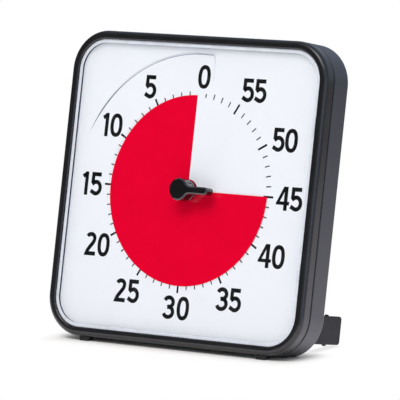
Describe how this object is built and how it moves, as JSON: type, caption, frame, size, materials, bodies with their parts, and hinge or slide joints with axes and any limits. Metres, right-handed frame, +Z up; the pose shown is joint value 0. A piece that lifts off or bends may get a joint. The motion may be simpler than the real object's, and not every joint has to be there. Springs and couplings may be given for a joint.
{
  "type": "visual countdown timer",
  "caption": "Square desk and wall countdown timer: a red disc winds out over a white minute dial, set by a central knob, on fold-out rear legs.",
  "frame": {"origin": "on the desk, under the middle of the bounding box", "axes": "+Z up, +X to the right of someone reading the dial, dial facing -Y and leaning back"},
  "size_m": [0.19, 0.0769, 0.1904],
  "materials": {
    "bezel_black": "semi-gloss moulded black",
    "shell_black": "satin moulded charcoal",
    "lens_clear": "clear moulded acrylic",
    "card_white": "smooth white sheet",
    "chassis_black": "matte moulded",
    "disc_red": "satin red film",
    "hub_red": "moulded red",
    "knob_black": "semi-gloss moulded black",
    "steel": "turned",
    "brass_part": "stamped",
    "white_gear": "moulded acetal",
    "motor_iron": "laminated soft iron",
    "coil_copper": "enamelled copper wire",
    "movement_grey": "moulded",
    "board_green": "solder mask",
    "chip_epoxy": "moulded epoxy",
    "cell_jacket": "plain printed sleeve",
    "foot_rubber": "soft black rubber"
  },
  "bodies": {
    "case": {"front_bezel": "bezel_black", "rear_shell": "shell_black", "clear_lens": "lens_clear", "dial_card": "card_white", "dial_chassis": "chassis_black", "stator": "motor_iron", "coil_bobbin": "white_gear", "coil_winding": "coil_copper", "movement_base": "movement_grey", "movement_cover": "movement_grey", "movement_screws": "steel", "circuit_board": "board_green", "quartz_crystal": "steel", "controller_chip": "chip_epoxy", "sounder": "chip_epoxy", "switch_body": "steel", "battery": "cell_jacket", "positive_contact": "brass_part", "negative_contact": "brass_part", "battery_spring": "steel", "leg_pins": "steel", "front_feet": "foot_rubber", "case_screws": "steel"},
    "knob_shaft": {"timer_shaft": "steel", "knob": "knob_black", "clutch_spring": "brass_part"},
    "disc": {"disc_hub": "hub_red", "red_disc": "disc_red"},
    "centre_gear": {"centre_wheel": "white_gear"},
    "third_gear": {"third_wheel": "white_gear"},
    "fourth_gear": {"fourth_wheel": "white_gear"},
    "idler_gear": {"idler_wheel": "white_gear"},
    "rotor_gear": {"rotor": "white_gear"},
    "slider": {"alert_slider": "knob_black"},
    "door": {"battery_door": "shell_black"},
    "leg_right": {"right_leg": "shell_black"},
    "leg_left": {"left_leg": "shell_black"}
  },
  "joints": [
    {"name": "timer_turn", "type": "hinge", "parent": "case", "child": "knob_shaft", "pos_m": [0, -0.01563, 0.09566], "axis": [0, -0.981, 0.1942], "range_deg": [-270, 90]},
    {"name": "disc_feed", "type": "slide", "parent": "knob_shaft", "child": "disc", "axis": [0, -0.981, 0.1942], "range_m": [-0.00121, 0.00041]},
    {"name": "right_leg_fold", "type": "hinge", "parent": "case", "child": "leg_right", "pos_m": [0.074, -0.01302, 0.01563], "axis": [0, 0.1942, 0.981], "range_deg": [0, 90]},
    {"name": "left_leg_fold", "type": "hinge", "parent": "case", "child": "leg_left", "pos_m": [-0.074, -0.01302, 0.01563], "axis": [0, -0.1942, -0.981], "range_deg": [0, 90]},
    {"name": "battery_door_open", "type": "hinge", "parent": "case", "child": "door", "pos_m": [0, -0.00742, 0.03802], "axis": [-1, 0, 0], "range_deg": [0, 75]},
    {"name": "alert_switch_slide", "type": "slide", "parent": "case", "child": "slider", "axis": [1, 0, 0], "range_m": [0, 0.003]},
    {"name": "rotor_spin", "type": "hinge", "parent": "case", "child": "rotor_gear", "pos_m": [0.00124, -0.00139, 0.10579], "axis": [0, -0.981, 0.1942], "continuous": true},
    {"name": "idler_wheel_spin", "type": "hinge", "parent": "case", "child": "idler_gear", "pos_m": [-0.00483, -0.00118, 0.10684], "axis": [0, -0.981, 0.1942], "continuous": true},
    {"name": "fourth_wheel_spin", "type": "hinge", "parent": "case", "child": "fourth_gear", "pos_m": [-0.01083, -0.00118, 0.10684], "axis": [0, -0.981, 0.1942], "continuous": true},
    {"name": "third_wheel_spin", "type": "hinge", "parent": "case", "child": "third_gear", "pos_m": [-0.00935, -0.00281, 0.09863], "axis": [0, -0.981, 0.1942], "continuous": true},
    {"name": "centre_wheel_spin", "type": "hinge", "parent": "case", "child": "centre_gear", "pos_m": [0, -0.00385, 0.09333], "axis": [0, -0.981, 0.1942], "continuous": true}
  ],
  "couplings": [
    {"joint": "disc_feed", "follows": "timer_turn", "m_per_rad": 0.00025465},
    {"joint": "idler_wheel_spin", "follows": "rotor_spin", "ratio": -0.16667},
    {"joint": "fourth_wheel_spin", "follows": "rotor_spin", "ratio": 0.033333},
    {"joint": "third_wheel_spin", "follows": "rotor_spin", "ratio": -0.0044444},
    {"joint": "centre_wheel_spin", "follows": "rotor_spin", "ratio": 0.00055556}
  ]
}
